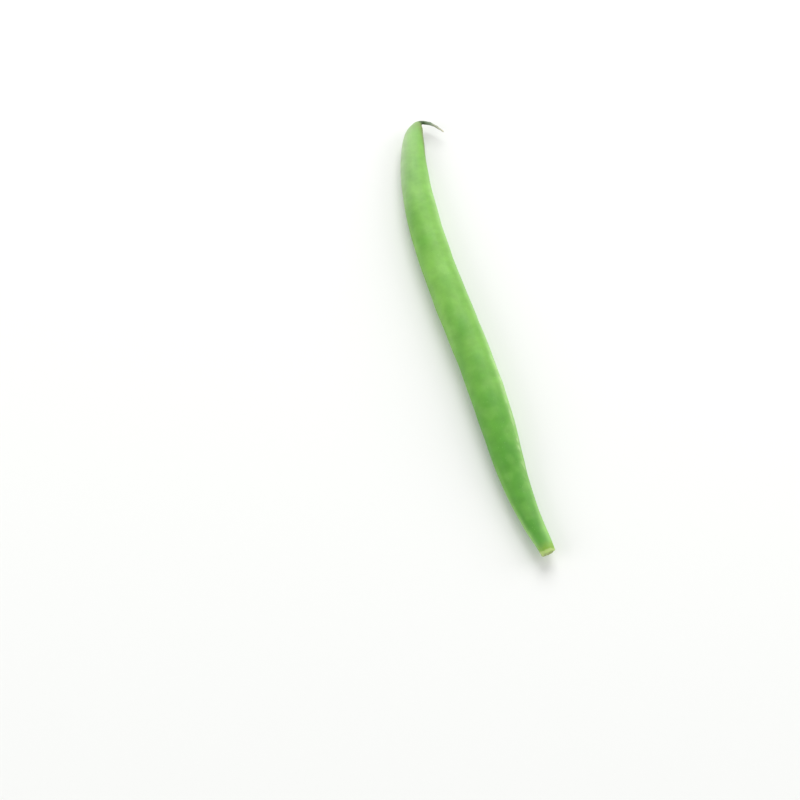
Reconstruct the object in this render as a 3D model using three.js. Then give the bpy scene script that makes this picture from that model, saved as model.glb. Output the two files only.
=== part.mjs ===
import * as THREE from "three";

// A fresh green bean: one whole snap bean pod, trimmed at the stalk end, with the withered style of its
// flower still on the other end as a thin hooked beak. It lies on one flank. Everything is in
// millimetres and +Z is up. X runs along the pod from the cut end to the blossom end, and +Y is the
// side of the back suture.

// Skin of the pod
const SKIN_COLOUR = "#7cb955";
const SKIN_ROUGHNESS = 0.45;

// Driving dimensions of the pod
const POD_WIDTH = 9.4; // from suture to suture where the pod is widest
const CUT_WIDTH = 3.8; // across the trimmed stalk end
const BEAK_ROOT = 1.15; // across the beak where it leaves the pod
const BEAK_END = 0.42; // across its blunt end
const FLANK_SQUARENESS = 2.25; // 2 is an oval section, more is a boxier one

// The two sutures: a groove with a soft ridge on each side
const GROOVE_DEPTH = 0.3;
const GROOVE_WIDTH = 0.38;
const RIDGE_HEIGHT = 0.11;
const RIDGE_WIDTH = 0.6;
const RIDGE_OFFSET = 1; // from the middle of the groove to the top of the ridge
const SUTURE_FADE_WIDTH = 4; // a narrower pod than this has fainter sutures

// The seeds swell both flanks a little
const SEED_PLACES = [29.5, 44, 55, 66.5, 81, 95, 106.5, 119]; // from the cut end
const SEED_LENGTH = 4.2;
const SEED_SWELL = 0.32;
const SEED_UNEVENNESS = 0.25; // the most that one swelling is smaller than another
const SEED_RHYTHM = 2.4; // radians that the unevenness moves on from seed to seed

// The trimmed end from its middle outwards: a low pith, a shallow dish and a rounded rim. Each row is
// a share of the cut's radius and the depth there.
const CUT_RINGS = [
  [0.3, 0.23],
  [0.5, 0.35],
  [0.7, 0.35],
  [0.76, 0.08],
  [0.87, 0],
  [0.96, 0.08],
];
const RIM_ROUNDING = 0.28;
const CUT_SLANT = 13; // degrees that the cut leans, so that it faces a little down
const SLANT_REACH = 6; // how far up the pod its sections lean with the cut

// The beak's blunt end: shares of its radius and of its width beyond the last rib
const BEAK_RINGS = [
  [0.8, 0.3],
  [0.4, 0.45],
];

// How far the underside is pressed flat where it carries the pod
const FLAT_DEPTH = 0.25;

// How finely the skin is divided
const STEP_SHARE = 0.21; // step along the pod as a share of its width there
const LEAST_STEP = 0.6; // the same step on the thin beak
const FLANK_FACES = 8; // across each flank, between the suture zones
const SUTURE_FACES = 5; // across each half of a suture zone
const SUTURE_ZONE = 0.62; // half angle of a suture zone in the section, in radians
const SUTURE_CROWDING = 1.5; // how much closer the corners are in the groove

// Ribs that the skin is drawn over, from the cut end to the end of the beak. Each one holds, in this
// order: its place along the pod, its sway towards the back suture, the height of its underside above
// the table, its width from suture to suture, its thickness as a share of that width, and its roll in
// degrees, which lifts the belly suture.
const RIBS = [
  [0, -0.15, 1.7, CUT_WIDTH, 0.97, 9],
  [3.5, 0.42, 1.35, 4.4, 0.95, 9],
  [9, 1.45, 0.75, 5.3, 0.92, 8],
  [17, 2.5, 0.2, 6.4, 0.91, 7],
  [27, 3.1, 0, 7.8, 0.9, 6],
  [39, 3.25, 0, 9, 0.89, 5],
  [52, 3.7, 0, 9.3, 0.88, 4],
  [65, 4.7, 0, POD_WIDTH, 0.88, 3],
  [78, 5.9, 0, 9.35, 0.88, 2],
  [91, 6.75, 0, 9, 0.88, 1],
  [103, 6.95, 0, 8.75, 0.87, 0],
  [112.5, 6.5, 0.02, 8.2, 0.84, 0],
  [119.5, 5.7, 0.14, 7.5, 0.81, 0],
  [124.5, 4.8, 0.5, 7, 0.77, 0],
  [128.3, 3.8, 1, 6.4, 0.72, 0],
  [131.3, 2.8, 1.6, 5.35, 0.68, 0],
  [133.45, 1.7, 2.05, 4.1, 0.64, 0],
  [134.85, 0.75, 2.45, 2.6, 0.68, 0],
  [135.45, -0.3, 2.7, BEAK_ROOT, 0.95, 0],
  [135.25, -1.4, 2.7, 0.98, 1, 0],
  [134.65, -2.55, 2.75, 0.84, 1, 0],
  [133.65, -3.75, 2.8, 0.7, 1, 0],
  [132.4, -4.8, 2.85, 0.56, 1, 0],
  [131.25, -5.65, 2.95, BEAK_END, 1, 0],
];

// The height of the axis is the underside's height and half the thickness.
const ribPlaces = RIBS.map(
  ([along, sway, lift, width, share]) => new THREE.Vector3(along, sway, lift + (width * share) / 2),
);
const ribSizes = RIBS.map(([, , , width, share, roll]) => new THREE.Vector3(width, share, roll));
const CUT_LEAN = Math.tan(THREE.MathUtils.degToRad(CUT_SLANT));
const podAxis = new THREE.CatmullRomCurve3(ribPlaces, false, "catmullrom", 0.5);
const podSizes = new THREE.CatmullRomCurve3(ribSizes, false, "catmullrom", 0.5);

function bell(distance, width) {
  return Math.exp(-((distance / width) ** 2));
}

// Angles of the section's corners: close together over the sutures, wider apart on the flanks.
function sectionAngles() {
  const angles = [];
  for (const suture of [0, Math.PI]) {
    for (let i = -SUTURE_FACES; i < SUTURE_FACES; i += 1) {
      const share = Math.abs(i / SUTURE_FACES) ** SUTURE_CROWDING;
      angles.push(suture + Math.sign(i) * share * SUTURE_ZONE);
    }
    for (let i = 0; i < FLANK_FACES; i += 1) {
      angles.push(suture + SUTURE_ZONE + ((Math.PI - 2 * SUTURE_ZONE) * i) / FLANK_FACES);
    }
  }
  return angles;
}

// The swelling of the seeds at a distance along the pod, from 0 between them to about 1 over one.
function seedSwell(along) {
  let swell = 0;
  SEED_PLACES.forEach((place, seed) => {
    const size = 1 - (SEED_UNEVENNESS / 2) * (1 + Math.sin(SEED_RHYTHM * seed));
    swell += size * bell(along - place, SEED_LENGTH);
  });
  return swell;
}

// One corner of the section, across and up from the axis: an oval with flattened flanks, raised by the
// suture ridges and the seeds, and lowered by the suture grooves.
function sectionCorner(angle, along, width, thickness) {
  const power = 2 / FLANK_SQUARENESS;
  const cosine = Math.cos(angle);
  const sine = Math.sin(angle);
  const across = (width / 2) * Math.sign(cosine) * Math.abs(cosine) ** power;
  const up = (thickness / 2) * Math.sign(sine) * Math.abs(sine) ** power;
  const strength = THREE.MathUtils.clamp((width - BEAK_ROOT) / SUTURE_FADE_WIDTH, 0, 1);
  const fromSuture = Math.abs(up);
  const ridge = RIDGE_HEIGHT * bell(fromSuture - RIDGE_OFFSET, RIDGE_WIDTH);
  const groove = GROOVE_DEPTH * bell(fromSuture, GROOVE_WIDTH);
  const edgeRelief = cosine ** 2 * strength * (ridge - groove);
  const flankRelief = SEED_SWELL * seedSwell(along) * sine ** 2;
  return [across + Math.sign(cosine) * edgeRelief, up + Math.sign(sine) * flankRelief];
}

// The frame of the section at a place on the axis: where it stands, which way it faces, and the
// directions towards the back suture and the upper flank.
function sectionFrame(t, roll) {
  const facing = podAxis.getTangent(t);
  const level = new THREE.Vector3(-facing.y, facing.x, 0).normalize();
  const top = facing.clone().cross(level);
  const turn = THREE.MathUtils.degToRad(roll);
  const back = level.clone().multiplyScalar(Math.cos(turn)).addScaledVector(top, -Math.sin(turn));
  const upper = level.clone().multiplyScalar(Math.sin(turn)).addScaledVector(top, Math.cos(turn));
  return { place: podAxis.getPoint(t), facing, back, upper };
}

// A ring of points round the axis. A share under 1 draws it in towards the axis, and a push moves it
// along the axis. Near the cut it leans as the cut does.
function ring(t, angles, share = 1, push = 0) {
  const size = podSizes.getPoint(t);
  const frame = sectionFrame(t, size.z);
  const along = frame.place.x;
  const lean = CUT_LEAN * THREE.MathUtils.clamp(1 - along / SLANT_REACH, 0, 1);
  return angles.map((angle) => {
    const [across, up] = sectionCorner(angle, along, size.x, size.x * size.y);
    return frame.place
      .clone()
      .addScaledVector(frame.back, across * share)
      .addScaledVector(frame.upper, up * share)
      .addScaledVector(frame.facing, push - lean * up * share);
  });
}

// Places of the rings on the axis, as shares of the whole curve: more of them where it is thin.
function ringPlaces() {
  const places = [0];
  const spans = RIBS.length - 1;
  for (let span = 0; span < spans; span += 1) {
    const distance = ribPlaces[span].distanceTo(ribPlaces[span + 1]);
    const stepLength = Math.max(LEAST_STEP, ribSizes[span].x * STEP_SHARE);
    const steps = Math.max(2, Math.round(distance / stepLength));
    for (let step = 1; step <= steps; step += 1) {
      places.push((span + step / steps) / spans);
    }
  }
  return places;
}

// The whole skin as rings: the trimmed end, the pod with its beak, and the beak's blunt end.
function podRings() {
  const angles = sectionAngles();
  const places = ringPlaces();
  places[0] = (places[1] * RIM_ROUNDING) / (CUT_WIDTH * STEP_SHARE);
  return [
    ...CUT_RINGS.map(([share, depth]) => ring(0, angles, share, depth)),
    ...places.map((t) => ring(t, angles)),
    ...BEAK_RINGS.map(([share, reach]) => ring(1, angles, share, BEAK_END * reach)),
  ];
}

function middleOf(points) {
  const sum = points.reduce((total, point) => total.add(point), new THREE.Vector3());
  return sum.divideScalar(points.length);
}

// A closed skin over the rings, with a point in the middle of each end.
function skinOver(rings) {
  const corners = rings[0].length;
  const points = rings.flat();
  const first = points.push(middleOf(rings[0])) - 1;
  const last = points.push(middleOf(rings[rings.length - 1])) - 1;
  const faces = [];
  for (let corner = 0; corner < corners; corner += 1) {
    const next = (corner + 1) % corners;
    faces.push(first, next, corner);
    for (let row = 0; row + 1 < rings.length; row += 1) {
      const here = row * corners;
      const ahead = here + corners;
      faces.push(here + corner, here + next, ahead + next);
      faces.push(here + corner, ahead + next, ahead + corner);
    }
    const end = (rings.length - 1) * corners;
    faces.push(last, end + corner, end + next);
  }
  return { points, faces };
}

// The pod is set down on the table and pressed flat there, and the origin goes under its middle.
function setDown(points) {
  const lowest = Math.min(...points.map((p) => p.z));
  for (const point of points) {
    point.z = Math.max(0, point.z - lowest - FLAT_DEPTH);
  }
  const box = new THREE.Box3().setFromPoints(points);
  const middle = box.getCenter(new THREE.Vector3());
  for (const point of points) {
    point.x -= middle.x;
    point.y -= middle.y;
  }
}

function greenBean() {
  const { points, faces } = skinOver(podRings());
  setDown(points);
  const geometry = new THREE.BufferGeometry().setFromPoints(points);
  geometry.setIndex(faces);
  geometry.computeVertexNormals();
  const skin = new THREE.MeshStandardMaterial({
    color: SKIN_COLOUR,
    roughness: SKIN_ROUGHNESS,
    metalness: 0,
  });
  const mesh = new THREE.Mesh(geometry, skin);
  mesh.name = "green_bean";
  return mesh;
}

const group = new THREE.Group();
group.add(greenBean());

export default group;
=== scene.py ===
"""A fresh green bean, lying on its flank on a plain pale table, seen from above its cut end.

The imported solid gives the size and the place. The pod is drawn again over the same ribs as a fine skin,
with its sutures, seeds, creases, trimmed end and withered beak, and gets the finish of fresh, waxy bean
skin. Its lengths are in millimetres until it is put in its place, in metres.
"""

import logging
import math
from dataclasses import dataclass, field
from enum import Enum

import bpy
import numpy as np
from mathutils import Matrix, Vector
from numpy.typing import NDArray


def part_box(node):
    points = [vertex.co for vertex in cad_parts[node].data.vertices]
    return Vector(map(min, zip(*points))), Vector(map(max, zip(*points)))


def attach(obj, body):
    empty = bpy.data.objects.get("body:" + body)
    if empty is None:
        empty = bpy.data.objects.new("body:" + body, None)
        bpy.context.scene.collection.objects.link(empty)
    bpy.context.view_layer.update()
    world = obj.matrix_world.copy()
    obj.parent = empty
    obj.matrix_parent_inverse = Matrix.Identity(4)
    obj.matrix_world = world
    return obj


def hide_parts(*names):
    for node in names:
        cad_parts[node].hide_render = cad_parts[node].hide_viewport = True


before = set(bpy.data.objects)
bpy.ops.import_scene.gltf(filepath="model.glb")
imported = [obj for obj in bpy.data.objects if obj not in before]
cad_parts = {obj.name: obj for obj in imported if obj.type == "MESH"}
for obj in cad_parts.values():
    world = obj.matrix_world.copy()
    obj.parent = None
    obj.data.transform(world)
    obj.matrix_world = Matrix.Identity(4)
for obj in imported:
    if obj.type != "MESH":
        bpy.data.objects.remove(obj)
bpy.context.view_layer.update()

LOG = logging.getLogger("green_bean")
MM = 0.001
PHOTO_SIDE = 800
Floats = NDArray[np.float64]
Rgba = tuple[float, float, float, float]
Triple = tuple[float, float, float]
Span = tuple[float, float]


def linear(colour: str) -> Rgba:
    """Turns an sRGB hex colour to the linear values that the shaders take, by the standard's own curve.

    Args:
        colour: Six hex digits after a hash sign.

    Returns:
        Linear red, green and blue, and an alpha of 1.
    """
    shares = np.array([int(colour[i : i + 2], 16) for i in (1, 3, 5)]) / 255
    bright = np.where(shares <= 0.04045, shares / 12.92, ((shares + 0.055) / 1.055) ** 2.4)
    return float(bright[0]), float(bright[1]), float(bright[2]), 1.0


def bell(distance: Floats, width: float) -> Floats:
    """Gives 1 where the distance is 0 and falls off smoothly over the width, as exp of minus its square."""
    return np.exp(-((distance / width) ** 2))


def smooth_step(value: Floats, low: float, high: float) -> Floats:
    """Rises from 0 at low to 1 at high as 3 s squared minus 2 s cubed."""
    share = np.clip((value - low) / (high - low), 0, 1)
    return share * share * (3 - 2 * share)


def through(knots: Floats, places: Floats) -> Floats:
    """Follows a smooth curve through the knots.

    Between two knots it is the cubic that leaves and arrives with half the step from the knot before to
    the knot after. Past each end stands a mirrored knot.

    Args:
        knots: One row for each knot.
        places: Positions on the curve, 0 at the first knot and 1 more at each next one.

    Returns:
        One row for each place.
    """
    padded = np.vstack([2 * knots[0] - knots[1], knots, 2 * knots[-1] - knots[-2]])
    span = np.clip(places.astype(int), 0, len(knots) - 2)
    s = (places - span)[:, None]
    before, start, end, after = (padded[span + i] for i in range(4))
    leave, arrive = (end - before) / 2, (after - start) / 2
    rise = 3 * (end - start) - 2 * leave - arrive
    bend = 2 * (start - end) + leave + arrive
    return start + s * (leave + s * (rise + s * bend))


@dataclass(frozen=True)
class Waves:
    """A smooth unevenness in space, about -1 to 1: the sum of plane waves with random directions.

    The length is the waves' mean one. The spread says how many times that length a wave may measure, and
    closer how many times closer the waves lie along each axis. The same draw gives the same waves.
    """

    length: float
    draw: int
    count: int = 14
    closer: Triple = (1.0, 1.0, 1.0)
    spread: Span = (0.7, 1.5)
    height: float = 0.8

    def at(self, points: Floats) -> Floats:
        """Adds up the cosines of the waves' phases, over the root of how many waves there are.

        Args:
            points: Points on the skin, with the last axis of length 3.

        Returns:
            One value for each point.
        """
        draw = np.random.default_rng(self.draw)
        directions = draw.normal(size=(self.count, 3))
        directions /= np.linalg.norm(directions, axis=1, keepdims=True)
        lengths = self.length * draw.uniform(*self.spread, self.count)
        phases = draw.uniform(0, 2 * np.pi, self.count)
        angles = (points * self.closer) @ (directions * (2 * np.pi / lengths)[:, None]).T + phases
        return np.cos(angles).sum(axis=-1) * math.sqrt(1 / self.count) * self.height


@dataclass(frozen=True)
class Ribs:
    """The ribs that the skin is drawn over, from the cut end to the end of the beak."""

    pod_width: float = 9.4
    cut_width: float = 3.8
    beak_root: float = 1.15
    beak_end: float = 0.42
    beak_ribs: int = 6

    def rows(self) -> Floats:
        """Lists the ribs.

        Returns:
            For each rib its place along, its sway to the back, the height of its underside, its width,
            the thickness as a share of the width, and the roll in degrees.
        """
        return np.array(
            [
                [0, -0.15, 1.7, self.cut_width, 0.97, 9],
                [3.5, 0.42, 1.35, 4.4, 0.95, 9],
                [9, 1.45, 0.75, 5.3, 0.92, 8],
                [17, 2.5, 0.2, 6.4, 0.91, 7],
                [27, 3.1, 0, 7.8, 0.9, 6],
                [39, 3.25, 0, 9, 0.89, 5],
                [52, 3.7, 0, 9.3, 0.88, 4],
                [65, 4.7, 0, self.pod_width, 0.88, 3],
                [78, 5.9, 0, 9.35, 0.88, 2],
                [91, 6.75, 0, 9, 0.88, 1],
                [103, 6.95, 0, 8.75, 0.87, 0],
                [112.5, 6.5, 0.02, 8.2, 0.84, 0],
                [119.5, 5.7, 0.14, 7.5, 0.81, 0],
                [124.5, 4.8, 0.5, 7, 0.77, 0],
                [128.3, 3.8, 1, 6.4, 0.72, 0],
                [131.3, 2.8, 1.6, 5.35, 0.68, 0],
                [133.45, 1.7, 2.05, 4.1, 0.64, 0],
                [134.85, 0.75, 2.45, 2.6, 0.68, 0],
                [135.45, -0.3, 2.7, self.beak_root, 0.95, 0],
                [135.25, -1.4, 2.7, 0.98, 1, 0],
                [134.65, -2.55, 2.75, 0.84, 1, 0],
                [133.65, -3.75, 2.8, 0.7, 1, 0],
                [132.4, -4.8, 2.85, 0.56, 1, 0],
                [131.25, -5.65, 2.95, self.beak_end, 1, 0],
            ]
        )

    def places(self) -> Floats:
        """Points of the axis at the ribs: the axis is half the thickness above the underside."""
        rows = self.rows()
        return np.column_stack([rows[:, 0], rows[:, 1], rows[:, 2] + rows[:, 3] * rows[:, 4] / 2])

    def sizes(self) -> Floats:
        """Width, thickness share and roll at the ribs."""
        return self.rows()[:, 3:]


@dataclass(frozen=True)
class Relief:
    """What stands out of the pod's plain oval or sinks into it.

    The sutures' wander is read along a line beside the pod's axis, so both sutures wander together.
    """

    flank_squareness: float = 2.25
    groove_depth: float = 0.3
    groove_width: float = 0.3
    ridge_height: float = 0.12
    ridge_width: float = 0.55
    ridge_offset: float = 0.95
    suture_fade_width: float = 4.0
    suture_wander: float = 0.07
    wander: Waves = Waves(17.0, draw=5, count=5)
    wander_start: Triple = (0.0, 3.0, 0.0)
    seed_places: tuple[float, ...] = (29.5, 44.0, 55.0, 66.5, 81.0, 95.0, 106.5, 119.0)
    seed_length: float = 4.2
    seed_swell: float = 0.32
    seed_unevenness: float = 0.25
    seed_rhythm: float = 2.4
    dent_depth: float = 0.07
    dents: Waves = Waves(11.0, draw=3)
    pucker_depth: float = 0.018
    puckers: Waves = Waves(2.2, draw=8, closer=(0.5, 1.0, 1.0))
    crease_places: tuple[float, ...] = (65.0, 84.0, 97.5, 107.5)
    crease_depths: tuple[float, ...] = (0.07, 0.045, 0.045, 0.12)
    crease_width: float = 0.7
    crease_slant: float = 0.35
    beak_wrinkle: float = 0.09
    beak_wrinkles: Waves = Waves(0.9, draw=21)
    flat_depth: float = 0.25


@dataclass(frozen=True)
class Trim:
    """The trimmed stalk end. Shares are of the cut's radius, from its middle to its rim.

    Every share past the rim is written as off_cut. The tears grow over their shares and calm down again
    by the calm share near the rim. The slant is in degrees, and the notch's angle and width in radians.
    """

    shares: tuple[float, ...] = (0.0, 0.15, 0.3, 0.5, 0.68, 0.76, 0.87, 0.96)
    depths: tuple[float, ...] = (0.2, 0.18, 0.23, 0.35, 0.34, 0.1, 0.0, 0.08)
    first_share: float = 0.02
    off_cut: float = 2.0
    rim_rounding: float = 0.28
    slant: float = 13.0
    slant_reach: float = 6.0
    rings: int = 26
    tear_depth: float = 0.11
    tears: Waves = Waves(0.55, draw=31)
    tear_shares: Span = (0.02, 0.2)
    calm: float = 0.7
    calm_shares: Span = (0.75, 0.95)
    notch_angle: float = 3.5
    notch_width: float = 0.32
    notch_depth: float = 0.5
    notch_shares: Span = (0.55, 0.9)
    notch_length: float = 0.6
    strands: int = 9
    strand_share: float = 0.62
    strand_width: float = 0.08
    strand_height: float = 0.12


@dataclass
class Skin:
    """Grids over the pod's skin: a row for each ring from the cut's middle to the beak's end.

    They hold the points, their places on the straightened pod, the distance from the nearer suture, the
    share of the way from the back to the belly, the seeds' swelling, the share of the cut's radius, and
    the number of ribs past the root of the beak.
    """

    points: Floats
    straight: Floats
    from_suture: Floats
    belly: Floats
    swell: Floats
    cut_share: Floats
    beak: Floats


@dataclass(frozen=True)
class PodForm:
    """The surface of the pod as a function of the place on its axis and the angle round it.

    The first ring past the rounded rim keeps the first step's multiple of the rounding from the cut. The
    beak's end closes over the end swing, in shares of a quarter turn.
    """

    ribs: Ribs = field(default_factory=Ribs)
    relief: Relief = field(default_factory=Relief)
    trim: Trim = field(default_factory=Trim)
    columns: int = 144
    crowding: float = 0.75
    step_share: float = 0.045
    step_sizes: Span = (0.12, 0.28)
    fewest_steps: int = 4
    first_step: float = 1.2
    nudge: float = 1e-3
    end_rings: int = 5
    end_swing: Span = (0.25, 0.95)

    def angles(self) -> Floats:
        """Angles round the section, closer at the sutures: a minus half the crowding times sin 2a."""
        even = np.arange(self.columns) * 2 * np.pi / self.columns
        return even - self.crowding * np.sin(2 * even) / 2

    def stations(self) -> Floats:
        """Sets the places of the rings on the axis, from the end of the rim's rounding.

        Between two ribs the steps are even, and as long as a share of the pod's width there.

        Returns:
            The places, 0 at the first rib and 1 more at each next one.
        """
        lengths = np.linalg.norm(np.diff(self.ribs.places(), axis=0), axis=1)
        steps = np.clip(self.step_share * self.ribs.sizes()[:-1, 0], *self.step_sizes)
        counts = np.maximum(self.fewest_steps, np.round(lengths / steps)).astype(int)
        spans = [i + np.arange(n) / n for i, n in enumerate(counts)]
        every = np.append(np.concatenate(spans), len(counts))
        first = self.trim.rim_rounding / lengths[0]
        return np.append(first, every[every > self.first_step * first])

    def seed_swelling(self, along: Floats) -> Floats:
        """Adds up one bell for each seed, each a little smaller than 1 by a slow sine.

        Args:
            along: Places along the pod.

        Returns:
            The swelling at each place.
        """
        relief = self.relief
        order = np.arange(len(relief.seed_places))
        size = 1 - relief.seed_unevenness / 2 * (1 + np.sin(relief.seed_rhythm * order))
        offsets = along[..., None] - np.array(relief.seed_places)
        return (size * bell(offsets, relief.seed_length)).sum(axis=-1)

    def corners(self, station: Floats, angle: Floats) -> tuple[Floats, Floats, dict[str, Floats]]:
        """Works out the section across and up from the axis.

        The plain section is an oval with flattened flanks: half the width times the cosine, and half the
        thickness times the sine, each to the power of 2 over the squareness. Bells along the edge raise
        the suture ridges and sink the groove, and the seeds raise the flanks by the square of the sine.
        Slow dents, small puckers and slanted creases move the skin in and out, and wrinkles the beak.

        Args:
            station: Column of places on the axis.
            angle: Row of angles, 0 at the back suture and a quarter turn at the upper flank.

        Returns:
            The grids across and up, and the grids that the finish reads.
        """
        relief = self.relief
        axis = through(self.ribs.places(), station.ravel())
        width, thick_share, _ = through(self.ribs.sizes(), station.ravel()).T
        width, thickness = width[:, None], (width * thick_share)[:, None]
        along = axis[:, :1]
        power = 2 / relief.flank_squareness
        cosine, sine = np.cos(angle), np.sin(angle)
        across = width / 2 * np.sign(cosine) * np.abs(cosine) ** power
        up = thickness / 2 * np.sign(sine) * np.abs(sine) ** power
        straight = np.stack(np.broadcast_arrays(along + 0 * up, across, up), axis=-1)
        wander = relief.suture_wander * relief.wander.at(straight * [1, 0, 0] + relief.wander_start)
        from_suture = np.abs(up + wander)
        strength = np.clip((width - self.ribs.beak_root) / relief.suture_fade_width, 0, 1)
        ridge = relief.ridge_height * bell(from_suture - relief.ridge_offset, relief.ridge_width)
        groove = relief.groove_depth * bell(from_suture, relief.groove_width)
        swell = self.seed_swelling(along) + 0 * up
        edge = cosine**2 * strength * (ridge - groove)
        flank = relief.seed_swell * swell * sine**2
        lean = relief.crease_slant * across
        creases = sum(
            depth * bell(along + lean - place, relief.crease_width)
            for place, depth in zip(relief.crease_places, relief.crease_depths, strict=True)
        )
        dents = relief.dent_depth * relief.dents.at(straight)
        puckers = relief.pucker_depth * relief.puckers.at(straight)
        skin = strength * (dents + puckers)
        skin = skin - creases * sine**2
        from_root = station - (len(self.ribs.rows()) - self.ribs.beak_ribs)
        wrinkle = relief.beak_wrinkle * np.clip(from_root, 0, 1) * width
        skin = skin + wrinkle * relief.beak_wrinkles.at(straight)
        across = across + np.sign(cosine) * edge + cosine * skin
        up = up + np.sign(sine) * flank + sine * skin
        looks = {
            "straight": straight,
            "from_suture": from_suture,
            "belly": 0.5 - 0.5 * cosine + 0 * up,
            "swell": swell,
            "beak": from_root + 0 * up,
        }
        return across, up, looks

    def placed(self, station: Floats, across: Floats, up: Floats, push: Floats) -> Floats:
        """Carries sections to their places on the axis.

        The section stands square to the axis, with its back suture level and then rolled.

        Args:
            station: Column of places on the axis.
            across: Distances towards the back suture.
            up: Distances towards the upper flank.
            push: Distances along the axis.

        Returns:
            Points, in millimetres.
        """
        flat = station.ravel()
        last = len(self.ribs.rows()) - 1.0
        knots = self.ribs.places()
        ahead = through(knots, np.minimum(flat + self.nudge, last))
        facing = ahead - through(knots, np.maximum(flat - self.nudge, 0))
        facing /= np.linalg.norm(facing, axis=1, keepdims=True)
        level = np.column_stack([-facing[:, 1], facing[:, 0], 0 * flat])
        level /= np.linalg.norm(level, axis=1, keepdims=True)
        top = np.cross(facing, level)
        roll = np.radians(through(self.ribs.sizes(), flat)[:, 2:])
        back = level * np.cos(roll) - top * np.sin(roll)
        upper = level * np.sin(roll) + top * np.cos(roll)
        grids = ((back, across), (upper, up), (facing, push))
        return through(knots, flat)[:, None] + sum(way[:, None] * grid[..., None] for way, grid in grids)

    def trimmed_end(self, angle: Floats) -> tuple[Floats, Floats, Floats]:
        """Works out the rings of the cut from its middle to its rim.

        The depth follows the trim's profile. Waves tear it, a ring of strands stands up in it, and a bell
        round one angle sinks a notch in the rim.

        Args:
            angle: Row of angles round the section.

        Returns:
            Shares of the section, depths, and how much of the notch is there.
        """
        trim = self.trim
        share = np.linspace(trim.first_share, trim.shares[-1], trim.rings)[:, None] + 0 * angle
        depth = np.interp(share, trim.shares, trim.depths)
        radius = share * (self.ribs.cut_width / 2)
        plane = np.stack([0 * share, radius * np.cos(angle), radius * np.sin(angle)], axis=-1)
        torn = trim.tears.at(plane) * smooth_step(share, *trim.tear_shares)
        depth = depth + trim.tear_depth * torn * (1 - trim.calm * smooth_step(share, *trim.calm_shares))
        ring = bell(share - trim.strand_share, trim.strand_width)
        strand = ring * np.maximum(0, np.cos(trim.strands * angle)) ** 2
        depth = depth - trim.strand_height * strand
        turn = np.angle(np.exp(1j * (angle - trim.notch_angle)))
        notch = bell(turn, trim.notch_width) * smooth_step(share, *trim.notch_shares)
        return share, depth + trim.notch_depth * notch, notch

    def lean(self, along: Floats) -> Floats:
        """How far a section leans with the slanted cut for each millimetre up, less and less up the pod."""
        return math.tan(math.radians(self.trim.slant)) * np.clip(1 - along / self.trim.slant_reach, 0, 1)

    def skin(self) -> Skin:
        """Joins the cut, the pod and the beak's end and sets them down on the table.

        The pod is sunk by the flats' depth, and what would lie below the table is pressed flat on it.

        Returns:
            The grids of the whole skin.
        """
        angle = self.angles()[None]
        stations = self.stations()
        body = stations[:, None]
        across, up, looks = self.corners(body, angle)
        cut_share, cut_depth, notch = self.trimmed_end(angle)
        rim_across, rim_up, rim_looks = self.corners(np.zeros((1, 1)), angle)
        last = np.full((self.end_rings, 1), stations[-1])
        swing = np.linspace(*self.end_swing, self.end_rings)[:, None] * np.pi / 2
        tip_share, tip_push = np.cos(swing), self.ribs.beak_end / 2 * np.sin(swing)
        along = looks["straight"][..., 0]
        notched = notch[-1:] * self.trim.notch_depth * bell(along, self.trim.notch_length)
        cut_across, cut_up = rim_across * cut_share, rim_up * cut_share
        cut_push = cut_depth - self.lean(0 * cut_up) * cut_up
        parts = [
            self.placed(0 * cut_share[:, :1], cut_across, cut_up, cut_push),
            self.placed(body, across, up, notched - self.lean(along) * up),
            self.placed(last, across[-1:] * tip_share, up[-1:] * tip_share, tip_push),
        ]
        points = np.concatenate(parts)
        lowest = points[..., 2].min()
        points[..., 2] = np.maximum(0, points[..., 2] - lowest - self.relief.flat_depth)
        before, after = len(cut_share), self.end_rings

        def whole(name: str) -> Floats:
            """Repeats a grid of looks over the cut and the beak's end.

            Args:
                name: Name of the grid.

            Returns:
                The grid for the whole skin.
            """
            grid = looks[name]
            ends = np.repeat(rim_looks[name], before, axis=0), np.repeat(grid[-1:], after, axis=0)
            return np.concatenate([ends[0], grid, ends[1]])

        off_cut = np.full((len(stations) + after, angle.size), self.trim.off_cut)
        share = np.concatenate([cut_share, off_cut])
        straight = whole("straight")
        straight[:before, :, 1:] *= cut_share[..., None]
        straight[:before, :, 0] = -cut_depth
        grids = (whole(name) for name in ("from_suture", "belly", "swell"))
        return Skin(points, straight, *grids, cut_share=share, beak=whole("beak"))


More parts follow.
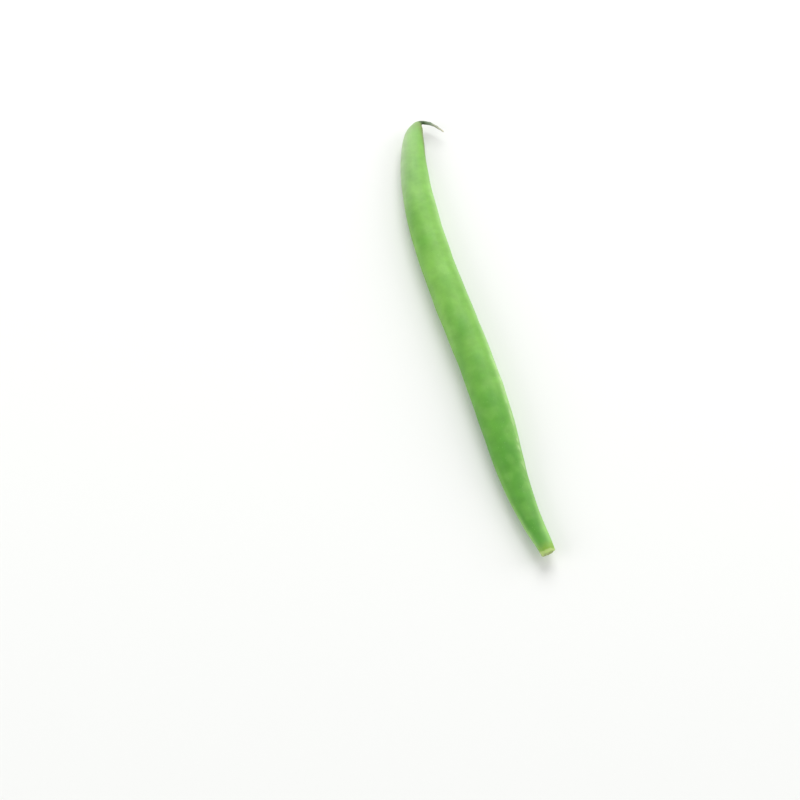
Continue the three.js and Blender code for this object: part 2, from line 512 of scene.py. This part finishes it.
def closed_mesh(name: str, points: Floats) -> bpy.types.Mesh:
    """Makes a closed mesh of rings, with a fan to a point in the middle of each end.

    Args:
        name: Name of the mesh.
        points: Grid of points in metres, a row for each ring, that turns so that its faces point outwards.

    Returns:
        The mesh, smooth shaded. Its points are the grid's in order, then the first and the last middle.
    """
    rows, columns, _ = points.shape
    ends = np.stack([points[0].mean(axis=0), points[-1].mean(axis=0)])
    corner = np.arange(columns)
    following = (corner + 1) % columns
    here = (np.arange(rows - 1) * columns)[:, None]
    ahead = here + columns
    quads = np.stack([here + corner, here + following, ahead + following, ahead + corner], axis=-1)
    first = np.column_stack([np.full(columns, rows * columns), following, corner])
    last_row = (rows - 1) * columns
    last = np.column_stack([np.full(columns, rows * columns + 1), last_row + corner, last_row + following])
    loops = np.concatenate([quads.ravel(), first.ravel(), last.ravel()]).astype(np.int32)
    counts = np.concatenate([np.full(quads.size // 4, 4), np.full(2 * columns, 3)])
    starts = np.concatenate([[0], np.cumsum(counts)[:-1]]).astype(np.int32)
    mesh = bpy.data.meshes.new(name)
    mesh.vertices.add(rows * columns + 2)
    places = np.concatenate([points.reshape(-1, 3), ends]).astype(np.float32)
    mesh.vertices.foreach_set("co", places.ravel())
    mesh.loops.add(len(loops))
    mesh.loops.foreach_set("vertex_index", loops)
    mesh.polygons.add(len(counts))
    mesh.polygons.foreach_set("loop_start", starts)
    mesh.update(calc_edges=True)
    mesh.shade_smooth()
    mesh.validate()
    return mesh


class Kept(Enum):
    """What an attribute of the mesh's points holds: its type and the field that is written."""

    PLACE = ("FLOAT_VECTOR", "vector")
    COLOUR = ("FLOAT_COLOR", "color")


def keep_on_points(mesh: bpy.types.Mesh, name: str, kept: Kept, grid: Floats) -> None:
    """Writes a grid of places or colours to the mesh's points, for the finish to read.

    Args:
        mesh: A mesh from closed_mesh.
        name: Name of the attribute.
        kept: What it holds.
        grid: One row of numbers for each point of the mesh's grid.
    """
    kind, target = kept.value
    ends = np.stack([grid[0].mean(axis=0), grid[-1].mean(axis=0)])
    values = np.concatenate([grid.reshape(-1, grid.shape[-1]), ends]).astype(np.float32)
    mesh.attributes.new(name, kind, "POINT").data.foreach_set(target, values.ravel())


def link_object(name: str, data: bpy.types.ID) -> bpy.types.Object:
    """Puts new data into the scene as an object at the origin.

    Args:
        name: Name of the object.
        data: Its mesh, light or camera.

    Returns:
        The object.
    """
    made = bpy.data.objects.new(name, data)
    bpy.context.scene.collection.objects.link(made)
    return made


def add_node(
    tree: bpy.types.NodeTree, kind: str, inputs: dict[str | int, object] | None = None, **settings: object
) -> bpy.types.Node:
    """Adds a node with its settings, values and links.

    Args:
        tree: The node tree that gets it.
        kind: The node's type.
        inputs: For each input socket a value, or the output socket that it is linked to.
        settings: Properties of the node.

    Returns:
        The node.
    """
    made = tree.nodes.new(kind)
    for name, value in settings.items():
        setattr(made, name, value)
    for socket, value in (inputs or {}).items():
        if isinstance(value, bpy.types.NodeSocket):
            tree.links.new(value, made.inputs[socket])
        else:
            made.inputs[socket].default_value = value
    return made


def new_material(name: str) -> tuple[bpy.types.Material, bpy.types.NodeTree]:
    """Makes a material with an empty node tree.

    Args:
        name: Name of the material.

    Returns:
        The material and its tree.
    """
    made = bpy.data.materials.new(name)
    made.use_nodes = True
    made.node_tree.nodes.clear()
    return made, made.node_tree


@dataclass(frozen=True)
class Coat:
    """One colour that is laid over the others: its sRGB hex colour and the most that it covers."""

    colour: str
    share: float

    def over(self, where: Floats) -> tuple[Floats, Floats]:
        """Gives the linear colour, and the share that it covers at each point."""
        return np.array(linear(self.colour)), (self.share * where)[..., None]


@dataclass(frozen=True)
class Pigment:
    """Where each colour of a fresh pod lies on its skin.

    The green is deeper towards the stalk, partly as the pod's own colour and partly as painted shade,
    deeper over the seeds, and fresher towards the blossom end, and painted shade darkens the tip. Pale
    shoulders beside the belly suture are partly paler skin and partly painted highlight, a painted
    highlight runs along the sutures at the neck, painted rim light lies on the back edge towards the
    blossom end, and an olive line of painted shade runs in each groove. Each reach along the pod goes from
    where a colour starts to where it is full, and each width beside a suture from where it is full to where
    it ends.
    """

    base: str = "#5CA12D"
    fresh: Coat = Coat("#7FB94C", 0.95)
    fresh_reach: Span = (33.0, 70.0)
    # Deeper green towards the stalk: partly the pod's own deeper green, partly painted shade over the neck.
    deep_neck_and_shade: Coat = Coat("#448E22", 0.6)
    neck_reach: Span = (26.0, 8.0)
    # Painted highlight: a pale band painted along the sutures at the neck.
    neck_edge_highlight: Coat = Coat("#A4D67C", 0.65)
    neck_edge_width: Span = (0.8, 1.9)
    neck_edge_slope: float = 0.55
    # Painted shade: the tip is darkened back towards the base green.
    painted_tip_shade: Coat = Coat("#5CA12D", 0.25)
    tip_reach: Span = (106.0, 124.0)

    # The wall is darker over a seed, and more so towards the stalk.
    over_seed: Coat = Coat("#448E22", 0.36)
    seed_width: float = 2.8
    seed_swelling: Span = (0.1, 0.85)
    seed_fade: float = 0.45
    seed_reach: Span = (85.0, 55.0)

    # The green lies unevenly, in patches about as long as a seed and in clouds a third as long.
    deep_patch: Coat = Coat("#448E22", 0.28)
    pale_patch: Coat = Coat("#84BA56", 0.34)
    patches: Waves = Waves(15.0, draw=9, closer=(1.0, 1.8, 1.8))
    patch_heights: Span = (0.1, 1.0)
    deep_cloud: Coat = Coat("#448E22", 0.15)
    pale_cloud: Coat = Coat("#84BA56", 0.25)
    clouds: Waves = Waves(5.0, draw=30, closer=(1.0, 1.4, 1.4))
    cloud_heights: Span = (0.0, 1.0)

    # The shoulders beside the belly suture are partly paler skin and partly painted highlight. They come
    # and go along the pod, around a steady share.
    pale_shoulder_and_highlight: Coat = Coat("#9CD073", 0.95)
    shoulder_width: Span = (1.75, 3.6)
    shoulder_fade: float = 0.7
    shoulder_rhythm: float = 65.0
    shoulder_peak: float = 50.0
    shoulder_steady: float = 0.7
    shoulder_swing: float = 0.3
    shoulder_belly: Span = (0.1, 0.9)
    # Painted rim light: a pale sheen painted along the back edge towards the blossom end.
    painted_rim_light: Coat = Coat("#C6D8B4", 0.8)
    rim_light_reach: Span = (98.0, 130.0)
    rim_light_power: float = 2.3

    # Painted glints: fine pale specks of painted highlight beside the belly suture. Specks of a tenth of a
    # millimetre would not show, so they are drawn as streaks half a millimetre wide and about one long. The
    # glints run over their whole reach and fade at both ends.
    painted_glints: Coat = Coat("#D3E6AE", 0.55)
    crest_place: float = 2.1
    crest_width: float = 0.6
    crest_reach: Span = (18.0, 62.0)
    crest_fade: float = 8.0
    crest_power: float = 4.0
    specks: Waves = Waves(0.8, draw=41, closer=(0.4, 1.0, 1.0))
    speck_heights: Span = (-0.3, 0.9)

    # Each groove holds an olive line of painted shade, and the grooves are stained brown next to the beak,
    # on the belly side.
    groove: Coat = Coat("#6F8438", 0.85)
    groove_width: Span = (0.12, 0.42)
    stain: Coat = Coat("#76704C", 0.75)
    stain_width: Span = (0.7, 1.8)
    stain_reach: Span = (118.0, 129.0)

    # The knife bruised the neck, and the lip of the cut dried to cream, broadest at the back.
    ragged: Waves = Waves(1.3, draw=23)
    ragged_depth: float = 0.25
    bruise: Coat = Coat("#86AB33", 0.75)
    bruise_reach: Span = (3.4, 1.1)
    lip: Coat = Coat("#AFC676", 0.9)
    lip_reach: Span = (0.7, 0.4)
    lip_slope: float = 0.9
    lip_shares: Span = (0.96, 1.2)

    # The cut face is pale flesh with torn bundles of brown fibres, browner at the belly.
    cut_flesh: Coat = Coat("#B3BE7C", 1.0)
    flesh_shares: Span = (0.7, 0.86)
    cut_brown: Coat = Coat("#7D5C2C", 0.85)
    fibres: Waves = Waves(0.5, draw=33)
    bundles: Waves = Waves(1.1, draw=35)
    brown_slope: float = 1.8
    brown_middle: float = 0.6
    brown_heights: Span = (0.0, 1.1)

    # The beak is dark where it joins the pod and dries to straw, rib by rib.
    beak_root: Coat = Coat("#35502A", 0.9)
    beak_root_ribs: Span = (-0.95, -0.1)
    beak_mid: Coat = Coat("#7B8C70", 1.0)
    beak_mid_ribs: Span = (0.5, 1.8)
    beak_dry: Coat = Coat("#A5A995", 1.0)
    beak_dry_ribs: Span = (1.8, 3.4)
    beak_end: Coat = Coat("#CDC9B8", 1.0)
    beak_end_ribs: Span = (3.2, 5.0)

    def green(self, skin: Skin) -> list[tuple[Floats, Floats]]:
        """Lists the greens of the pod's walls, in the order in which they lie on each other.

        Args:
            skin: The pod's skin.

        Returns:
            For each green its linear colour and the share that it covers.
        """
        along = skin.straight[..., 0]
        patches, clouds = self.patches.at(skin.straight), self.clouds.at(skin.straight)
        seeds = smooth_step(skin.swell, *self.seed_swelling) * bell(skin.straight[..., 1], self.seed_width)
        seeds = seeds * (1 - self.seed_fade * (1 - smooth_step(along, *self.seed_reach)))
        at_neck, at_tip = smooth_step(along, *self.neck_reach), smooth_step(along, *self.tip_reach)
        turn = 2 * np.pi * (along - self.shoulder_peak) / self.shoulder_rhythm
        rhythm = self.shoulder_steady + self.shoulder_swing * np.cos(turn)
        beside = 1 - smooth_step(skin.from_suture, *self.shoulder_width)
        beside = beside * (1 - self.shoulder_fade * np.maximum(at_neck, at_tip))
        edge = skin.from_suture - self.neck_edge_slope * skin.belly
        back = (1 - skin.belly) ** self.rim_light_power
        return [
            self.fresh.over(smooth_step(along, *self.fresh_reach)),
            # Partly the pod's own deeper green, partly painted shade over the neck.
            self.deep_neck_and_shade.over(at_neck),
            # Painted shade at the tip.
            self.painted_tip_shade.over(at_tip),
            self.over_seed.over(seeds),
            self.deep_patch.over(smooth_step(patches, *self.patch_heights)),
            self.pale_patch.over(smooth_step(-patches, *self.patch_heights)),
            self.pale_cloud.over(smooth_step(clouds, *self.cloud_heights)),
            self.deep_cloud.over(smooth_step(-clouds, *self.cloud_heights)),
            # Partly paler skin, partly painted highlight beside the belly suture.
            self.pale_shoulder_and_highlight.over(beside * rhythm * smooth_step(skin.belly, *self.shoulder_belly)),
            # Painted highlight along the sutures at the neck.
            self.neck_edge_highlight.over(at_neck * (1 - smooth_step(edge, *self.neck_edge_width))),
            # Painted rim light on the back edge.
            self.painted_rim_light.over(back * smooth_step(along, *self.rim_light_reach)),
        ]

    def marks(self, skin: Skin) -> list[tuple[Floats, Floats]]:
        """Lists the marks over the green: painted glints, painted shade in the grooves, the stained tip,
        the bruise and the lip.

        Args:
            skin: The pod's skin.

        Returns:
            For each mark its linear colour and the share that it covers.
        """
        along = skin.straight[..., 0]
        ragged = along - self.ragged_depth * self.ragged.at(skin.straight)
        on_skin = skin.cut_share > 1
        stained = (1 - smooth_step(skin.from_suture, *self.stain_width)) * skin.belly
        # Painted glints beside the belly suture, in specks along the ridge.
        start, stop = self.crest_reach
        painted_glints = bell(skin.from_suture - self.crest_place, self.crest_width) * skin.belly**self.crest_power
        painted_glints = painted_glints * smooth_step(along, start, start + self.crest_fade)
        painted_glints = painted_glints * smooth_step(along, stop, stop - self.crest_fade)
        specks = smooth_step(self.specks.at(skin.straight), *self.speck_heights)
        lip = smooth_step(ragged - self.lip_slope * (1 - skin.belly), *self.lip_reach)
        return [
            self.painted_glints.over(painted_glints * specks),
            # Painted shade: an olive line in each groove.
            self.groove.over(1 - smooth_step(skin.from_suture, *self.groove_width)),
            self.stain.over(stained * smooth_step(along, *self.stain_reach)),
            self.bruise.over(smooth_step(ragged, *self.bruise_reach) * on_skin),
            self.lip.over(lip * on_skin),
        ]

    def ends(self, skin: Skin) -> list[tuple[Floats, Floats]]:
        """Lists the colours of the cut, and of the beak, root first.

        Args:
            skin: The pod's skin.

        Returns:
            For each colour its linear value and the share that it covers.
        """
        torn, bundles = self.fibres.at(skin.straight), self.bundles.at(skin.straight)
        inside = 1 - smooth_step(skin.cut_share, *self.flesh_shares)
        belly_side = self.brown_slope * (skin.belly - self.brown_middle)
        brown = inside * smooth_step(torn + bundles + belly_side, *self.brown_heights)
        return [
            self.lip.over(1 - smooth_step(skin.cut_share, *self.lip_shares)),
            self.cut_flesh.over(inside),
            self.cut_brown.over(brown),
            self.beak_root.over(smooth_step(skin.beak, *self.beak_root_ribs)),
            self.beak_mid.over(smooth_step(skin.beak, *self.beak_mid_ribs)),
            self.beak_dry.over(smooth_step(skin.beak, *self.beak_dry_ribs)),
            self.beak_end.over(smooth_step(skin.beak, *self.beak_end_ribs)),
        ]

    def paint(self, skin: Skin) -> Floats:
        """Lays the colours over each other.

        Args:
            skin: The pod's skin.

        Returns:
            A grid of linear red, green, blue and alpha.
        """
        colour = np.zeros(skin.straight.shape[:-1] + (4,)) + linear(self.base)
        for over, share in self.green(skin) + self.marks(skin) + self.ends(skin):
            colour += share * (over - colour)
        return colour


@dataclass(frozen=True)
class BeanSkin:
    """Fresh snap bean skin: living green tissue under a thin film of wax, as grown.

    Light enters the flesh a little, which softens its shading, and the wax and the finest down give one
    broad, satin highlight. A pixel of the render is 0.27 mm of the bean. The veins' mottle, about 2 mm
    across, is drawn at its own size. The fibres that run from end to end are about 0.1 mm wide, the pale
    pores 0.05 mm and the cells that make the grit 0.03 mm, and none of them would show, so the fibres are
    drawn 0.4 mm wide, the pores 0.2 mm and the grit 0.3 mm.
    """

    roughness: Span = (0.46, 0.58)
    sheen_patch: float = 4.0
    sheen_heights: Span = (0.3, 0.7)
    refraction: float = 1.43
    flesh_share: float = 0.22
    flesh_depth: float = 1.4
    flesh_radius: Triple = (0.8, 1.0, 0.35)
    down: float = 0.14
    down_roughness: float = 0.45
    fibre: Span = (7.0, 0.4)
    fibre_share: float = 0.15
    fibre_bump: float = 0.25
    mottle: Span = (2.0, 2.6)
    unevenness: float = 0.09
    grain_margin: float = 0.25
    pore_colour: str = "#B4D993"
    pore_share: float = 0.3
    pore_pitch: float = 0.9
    pore_radius: float = 0.11
    pore_middle: float = 0.3
    grit: float = 0.3
    grit_bump: float = 0.08
    bump_strength: float = 0.25
    detail: float = 3.0

    def grain(self, tree: bpy.types.NodeTree, place: bpy.types.NodeSocket) -> bpy.types.NodeSocket:
        """Makes the fibres and the mottle as a brightness that is 1 on average.

        Args:
            tree: The material's tree.
            place: Place on the straightened pod, in millimetres.

        Returns:
            The brightness.
        """
        noises = []
        for length, width in (self.fibre, self.mottle):
            scale = (1 / length, 1 / width, 1 / width)
            drawn = add_node(tree, "ShaderNodeMapping", {"Vector": place, "Scale": scale})
            inputs = {"Vector": drawn.outputs[0], "Scale": 1.0, "Detail": self.detail}
            noises.append(add_node(tree, "ShaderNodeTexNoise", inputs).outputs["Fac"])
        inputs = {0: noises[0], 1: self.fibre_share, 2: noises[1]}
        both = add_node(tree, "ShaderNodeMath", inputs, operation="MULTIPLY_ADD")
        # Each noise is a half on average.
        middle = 0.5 + 0.5 * self.fibre_share
        inputs = {
            "Value": both.outputs[0],
            "From Min": middle - self.grain_margin,
            "From Max": middle + self.grain_margin,
            "To Min": 1 - self.unevenness,
            "To Max": 1 + self.unevenness,
        }
        return add_node(tree, "ShaderNodeMapRange", inputs).outputs[0]

    def pores(self, tree: bpy.types.NodeTree, place: bpy.types.NodeSocket) -> bpy.types.NodeSocket:
        """Scatters pale pores: the pores' full share in the middle of a pore and 0 past its radius.

        Args:
            tree: The material's tree.
            place: Place on the straightened pod, in millimetres.

        Returns:
            The share of the pores' colour.
        """
        cells = add_node(tree, "ShaderNodeTexVoronoi", {"Vector": place, "Scale": 1 / self.pore_pitch})
        edge = self.pore_radius / self.pore_pitch
        inputs = {
            "Value": cells.outputs["Distance"],
            "From Min": edge,
            "From Max": self.pore_middle * edge,
            "To Min": 0.0,
            "To Max": self.pore_share,
        }
        return add_node(tree, "ShaderNodeMapRange", inputs, interpolation_type="SMOOTHSTEP").outputs[0]

    def relief(
        self, tree: bpy.types.NodeTree, place: bpy.types.NodeSocket, bright: bpy.types.NodeSocket
    ) -> bpy.types.NodeSocket:
        """Bumps the normal by the fibres and by a fine grit.

        Args:
            tree: The material's tree.
            place: Place on the straightened pod, in millimetres.
            bright: The brightness of the fibres and the mottle.

        Returns:
            The normal.
        """
        inputs = {"Height": bright, "Strength": self.bump_strength, "Distance": self.fibre_bump * MM}
        ribbed = add_node(tree, "ShaderNodeBump", inputs)
        inputs = {"Vector": place, "Scale": 1 / self.grit, "Detail": self.detail}
        grit = add_node(tree, "ShaderNodeTexNoise", inputs)
        inputs = {
            "Height": grit.outputs["Fac"],
            "Strength": self.bump_strength,
            "Distance": self.grit_bump * MM,
            "Normal": ribbed.outputs[0],
        }
        return add_node(tree, "ShaderNodeBump", inputs).outputs[0]

    def material(self) -> bpy.types.Material:
        """Makes the finish for the whole pod, over the colours and the places kept on its points.

        Returns:
            The material.
        """
        made, tree = new_material("fresh_bean_skin")
        place = add_node(tree, "ShaderNodeAttribute", attribute_name="straight").outputs["Vector"]
        pigment = add_node(tree, "ShaderNodeAttribute", attribute_name="pigment").outputs["Color"]
        bright = self.grain(tree, place)
        grained = add_node(tree, "ShaderNodeHueSaturation", {"Color": pigment, "Value": bright})
        # A mix of colours has its share in socket 0, its colours in 6 and 7, and its result in output 2.
        inputs = {0: self.pores(tree, place), 6: grained.outputs[0], 7: linear(self.pore_colour)}
        dotted = add_node(tree, "ShaderNodeMix", inputs, data_type="RGBA")
        patches = add_node(tree, "ShaderNodeTexNoise", {"Vector": place, "Scale": 1 / self.sheen_patch})
        inputs = {
            "Value": patches.outputs["Fac"],
            "From Min": self.sheen_heights[0],
            "From Max": self.sheen_heights[1],
            "To Min": self.roughness[0],
            "To Max": self.roughness[1],
        }
        gloss = add_node(tree, "ShaderNodeMapRange", inputs)
        inputs = {
            "Base Color": dotted.outputs[2],
            "Roughness": gloss.outputs[0],
            "IOR": self.refraction,
            "Normal": self.relief(tree, place, bright),
            "Subsurface Weight": self.flesh_share,
            "Subsurface Radius": self.flesh_radius,
            "Subsurface Scale": self.flesh_depth * MM,
            "Sheen Weight": self.down,
            "Sheen Roughness": self.down_roughness,
        }
        shader = add_node(tree, "ShaderNodeBsdfPrincipled", inputs)
        add_node(tree, "ShaderNodeOutputMaterial", {"Surface": shader.outputs[0]})
        return made


@dataclass
class GreenBean:
    """The bean itself: one pod with its sutures, its trimmed end and its beak."""

    node: str = "green_bean"
    name: str = "green_bean_pod"
    form: PodForm = field(default_factory=PodForm)
    pigment: Pigment = field(default_factory=Pigment)
    finish: BeanSkin = field(default_factory=BeanSkin)

    def in_place(self, points: Floats) -> Floats:
        """Turns millimetres to metres, with the middle of the pod over the middle of its solid.

        Args:
            points: Points of the skin, in millimetres, standing on the table.

        Returns:
            The points in the shared frame, in metres.
        """
        low, high = (np.array(corner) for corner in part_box(self.node))
        points = points * MM
        flat = points.reshape(-1, 3)
        shift = (low + high - flat.min(axis=0) - flat.max(axis=0)) / 2
        return points + shift * [1, 1, 0]

    def build(self) -> bpy.types.Object:
        """Builds the pod, dresses it and puts it in the place of its solid.

        Returns:
            The pod.
        """
        skin = self.form.skin()
        mesh = closed_mesh(self.name, self.in_place(skin.points))
        keep_on_points(mesh, "straight", Kept.PLACE, skin.straight)
        keep_on_points(mesh, "pigment", Kept.COLOUR, self.pigment.paint(skin))
        mesh.materials.append(self.finish.material())
        pod = link_object(self.name, mesh)
        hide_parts(self.node)
        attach(pod, "root")
        return pod


@dataclass(frozen=True)
class MattBoard:
    """Board with matt white paint: it gives the eye a pale, even ground with no reflections."""

    colour: str = "#F0F0EE"
    roughness: float = 0.7
    refraction: float = 1.4

    def material(self) -> bpy.types.Material:
        """Makes the finish of the table.

        Returns:
            The material.
        """
        made, tree = new_material("matt_white_board")
        inputs = {"Base Color": linear(self.colour), "Roughness": self.roughness, "IOR": self.refraction}
        shader = add_node(tree, "ShaderNodeBsdfPrincipled", inputs)
        add_node(tree, "ShaderNodeOutputMaterial", {"Surface": shader.outputs[0]})
        return made


@dataclass(frozen=True)
class Softbox:
    """A square lamp that shines at the bean: its place and side in metres, and its power in watts."""

    name: str
    place: Triple
    side: float
    watts: float

    def build(self) -> bpy.types.Object:
        """Hangs the lamp.

        Returns:
            The lamp.
        """
        data = bpy.data.lights.new(self.name, "AREA")
        data.shape = "SQUARE"
        data.size = self.side
        data.energy = self.watts
        lamp = link_object(self.name, data)
        lamp.location = self.place
        lamp.rotation_euler = (-Vector(self.place)).to_track_quat("-Z", "Y").to_euler()
        return lamp


@dataclass(frozen=True)
class Studio:
    """A plain pale table in a bright room with large, soft lamps. Its sizes are in metres."""

    table_side: float = 8.0
    table_finish: MattBoard = MattBoard()
    air: str = "#F4F6F6"
    air_strength: float = 0.625
    lamps: tuple[Softbox, ...] = (
        Softbox("far_softbox", (0.75, -0.3, 0.9), side=0.8, watts=8.6),
        Softbox("right_softbox", (0.1, -0.9, 0.5), side=0.6, watts=2.5),
        Softbox("left_softbox", (-0.1, 0.9, 0.6), side=0.6, watts=2.4),
    )

    def build_table(self) -> bpy.types.Object:
        """Lays the table under the bean.

        Returns:
            The table.
        """
        half = self.table_side / 2
        mesh = bpy.data.meshes.new("table")
        corners = [(-half, -half, 0.0), (half, -half, 0.0), (half, half, 0.0), (-half, half, 0.0)]
        mesh.from_pydata(corners, [], [(0, 1, 2, 3)])
        mesh.materials.append(self.table_finish.material())
        table = link_object("table", mesh)
        return table

    def build_air(self) -> None:
        """Fills the room with even, pale light."""
        world = bpy.data.worlds.new("pale_room")
        bpy.context.scene.world = world
        world.use_nodes = True
        world.node_tree.nodes.clear()
        inputs = {"Color": linear(self.air), "Strength": self.air_strength}
        glow = add_node(world.node_tree, "ShaderNodeBackground", inputs)
        add_node(world.node_tree, "ShaderNodeOutputWorld", {"Surface": glow.outputs[0]})

    def build(self) -> list[bpy.types.Object]:
        """Lays the table, fills the room with light and hangs the lamps.

        Returns:
            The table and the lamps.
        """
        table = self.build_table()
        self.build_air()
        return [table] + [lamp.build() for lamp in self.lamps]


@dataclass(frozen=True)
class PhotoCamera:
    """The camera, which looks down on the bean so that it lies in the frame as in the photograph.

    The elevation is the one at which a bean of this size, lying flat, has the photograph's length and
    width. Angles are in degrees, and the distance and the clipping range in metres.
    """

    elevation: float = 64.0
    heading: float = -13.87
    aim_mm: Span = (-14.12, 23.27)
    distance: float = 0.6
    focal_pixels: float = 2240.0
    sensor_mm: float = 36.0
    clip: Span = (0.01, 20.0)

    def build(self) -> bpy.types.Object:
        """Sets the camera up and makes it the scene's.

        Returns:
            The camera.
        """
        data = bpy.data.cameras.new("photo_camera")
        data.sensor_width = self.sensor_mm
        data.lens = self.focal_pixels * self.sensor_mm / PHOTO_SIDE
        data.clip_start, data.clip_end = self.clip
        camera = link_object("photo_camera", data)
        rise, turn = math.radians(self.elevation), math.radians(self.heading)
        level = math.cos(rise)
        towards = Vector((math.cos(turn) * level, math.sin(turn) * level, -math.sin(rise)))
        aim = Vector((self.aim_mm[0] * MM, self.aim_mm[1] * MM, 0.0))
        camera.location = aim - towards * self.distance
        camera.rotation_euler = towards.to_track_quat("-Z", "Y").to_euler()
        bpy.context.scene.camera = camera
        return camera


def main() -> None:
    """Builds the camera, the room and the bean, and reports each piece."""
    logging.basicConfig(level=logging.INFO, format="%(name)s: %(message)s")
    view = bpy.context.scene.view_settings
    view.view_transform, view.look = "Standard", "None"
    camera = PhotoCamera().build()
    LOG.info("%s at %s", camera.name, [round(x, 4) for x in camera.location])
    for piece in Studio().build():
        LOG.info("%s at %s", piece.name, [round(x, 4) for x in piece.location])
    pod = GreenBean().build()
    LOG.info("%s with %d faces and %d points", pod.name, len(pod.data.polygons), len(pod.data.vertices))


if __name__ == "__main__":
    main()
